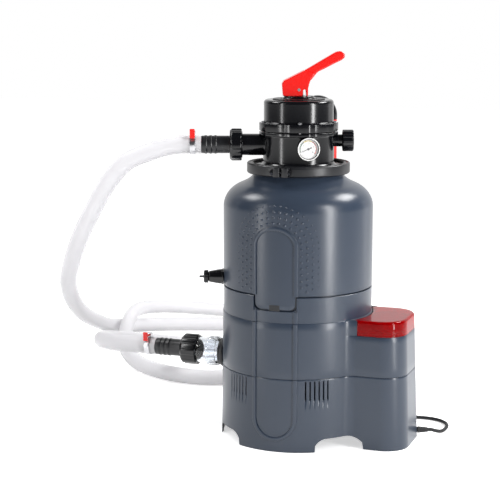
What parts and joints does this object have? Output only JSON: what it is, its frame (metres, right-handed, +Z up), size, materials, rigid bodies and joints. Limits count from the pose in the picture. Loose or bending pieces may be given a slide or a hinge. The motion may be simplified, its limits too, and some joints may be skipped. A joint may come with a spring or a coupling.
{
  "type": "sand filter tank",
  "caption": "Pool sand filter: a round tank on a moulded base that houses the pump, with a multiport valve, strainer, clear hose and mains lead",
  "frame": {"origin": "on the floor, on the tank's vertical axis", "axes": "+Z up; -Y is the front, which the panel faces; +X points to the pump housing and its strainer cover, -X to the suction port"},
  "size_m": [1.0302, 1.1866, 0.7773],
  "materials": {
    "grey_abs": "blue-grey moulded plastic with a low sheen",
    "valve_black": "black moulded plastic, glossy",
    "matt_black": "black moulded plastic, low sheen",
    "red_gloss": "bright red plastic",
    "red_clear": "translucent red plastic",
    "clear": "clear plastic",
    "hose_clear": "translucent corrugated hose",
    "steel": "zinc-plated steel",
    "rubber": "black rubber, matt",
    "dial_white": "white plastic",
    "motor_shell": "cast motor case, painted grey"
  },
  "bodies": {
    "unit": {"base_lower": "grey_abs", "base_upper": "grey_abs", "clamp_bolt_back": "steel", "clamp_bolt_front": "steel", "clamp_left": "valve_black", "clamp_nut_back": "steel", "clamp_nut_front": "steel", "clamp_right": "valve_black", "clear_hose": "hose_clear", "delivery_pipe": "valve_black", "drain_body": "valve_black", "gauge_case": "valve_black", "gauge_dial": "dial_white", "gauge_lens": "clear", "index_plate": "valve_black", "lead_coil": "rubber", "lead_run": "rubber", "lid_gasket": "rubber", "lid_screw_1": "steel", "lid_screw_2": "steel", "lid_screw_3": "steel", "lid_screw_4": "steel", "lid_screw_5": "steel", "mains_plug": "rubber", "motor": "motor_shell", "neck_gasket": "rubber", "pot_gasket": "rubber", "pump_casing": "matt_black", "return_clamp_band": "steel", "return_tail": "valve_black", "riser_hose": "red_gloss", "sight_tube": "clear", "standpipe": "dial_white", "strain_relief": "rubber", "strainer_pot": "matt_black", "suction_clamp_band": "steel", "suction_inlet": "valve_black", "suction_tail": "valve_black", "swan_neck": "valve_black", "tank": "grey_abs", "valve_body": "valve_black", "valve_elbow": "valve_black", "valve_lid": "valve_black"},
    "selector": {"handle_washer": "valve_black", "rotor_spring": "steel"},
    "stem": {"valve_rotor": "matt_black", "lever_pin": "steel"},
    "lever": {"lever": "red_gloss"},
    "needle": {"gauge_needle": "rubber"},
    "waste_cap": {"waste_cap": "valve_black"},
    "return_nut": {"return_nut": "valve_black"},
    "suction_nut": {"suction_nut": "valve_black"},
    "sight_nut": {"sight_nut": "clear"},
    "drain_cap": {"drain_cap": "matt_black"},
    "return_screw": {"return_clamp_screw": "red_gloss"},
    "suction_screw": {"suction_clamp_screw": "red_gloss"},
    "cover": {"strainer_cover": "red_clear"},
    "basket": {"strainer_basket": "dial_white"},
    "impeller": {"impeller_shaft": "matt_black"},
    "latch": {"tank_latch": "matt_black"}
  },
  "joints": [
    {"name": "selector_turn", "type": "hinge", "parent": "unit", "child": "selector", "pos_m": [0, 0, 0.688], "axis": [0, 0, 1], "continuous": true},
    {"name": "stem_lift", "type": "slide", "parent": "selector", "child": "stem", "axis": [0, 0, 1], "range_m": [0, 0.004], "deforming": ["rotor_spring"]},
    {"name": "lever_press", "type": "hinge", "parent": "stem", "child": "lever", "pos_m": [0, 0, 0.7015], "axis": [-0.3338, 0.9426, 0], "range_deg": [0, 18], "stiffness_Nm_per_rad": 0.3844, "springref_deg": -18.48},
    {"name": "needle_turn", "type": "hinge", "parent": "unit", "child": "needle", "pos_m": [0.04143, -0.06761, 0.59], "axis": [-0.5225, 0.8526, 0], "range_deg": [0, 240], "stiffness_Nm_per_rad": 0.0005},
    {"name": "waste_cap_turn", "type": "hinge", "parent": "unit", "child": "waste_cap", "pos_m": [0.09426, 0.03338, 0.6], "axis": [0.9426, 0.3338, 0], "continuous": true},
    {"name": "return_nut_turn", "type": "hinge", "parent": "unit", "child": "return_nut", "pos_m": [-0.11783, -0.04173, 0.592], "axis": [-0.9426, -0.3338, 0], "continuous": true},
    {"name": "suction_nut_turn", "type": "hinge", "parent": "unit", "child": "suction_nut", "pos_m": [-0.232, 0, 0.155], "axis": [-1, 0, 0], "continuous": true},
    {"name": "sight_nut_turn", "type": "hinge", "parent": "unit", "child": "sight_nut", "pos_m": [-0.1815, 0, 0.155], "axis": [-1, 0, 0], "continuous": true},
    {"name": "drain_cap_turn", "type": "hinge", "parent": "unit", "child": "drain_cap", "pos_m": [-0.1725, -0.06109, 0.324], "axis": [-0.9426, -0.3338, 0], "continuous": true},
    {"name": "return_screw_turn", "type": "hinge", "parent": "unit", "child": "return_screw", "pos_m": [-0.19927, -0.07057, 0.6154], "axis": [0.3338, -0.9426, 0], "continuous": true},
    {"name": "suction_screw_turn", "type": "hinge", "parent": "unit", "child": "suction_screw", "pos_m": [-0.3281, 0, 0.1784], "axis": [0, -1, 0], "continuous": true},
    {"name": "cover_lift", "type": "slide", "parent": "unit", "child": "cover", "axis": [0, 0, 1], "range_m": [0, 0.26]},
    {"name": "basket_lift", "type": "slide", "parent": "unit", "child": "basket", "axis": [0, 0, 1], "range_m": [0, 0.13]},
    {"name": "impeller_turn", "type": "hinge", "parent": "unit", "child": "impeller", "pos_m": [0.09, 0, 0.088], "axis": [1, 0, 0], "continuous": true},
    {"name": "latch_push", "type": "slide", "parent": "unit", "child": "latch", "axis": [0, 1, 0], "range_m": [0, 0.0025], "stiffness_N_per_m": 400}
  ],
  "couplings": [
    {"joint": "stem_lift", "follows": "lever_press", "m_per_rad": 0.0124},
    {"joint": "basket_lift", "follows": "cover_lift", "ratio": 0.5}
  ]
}
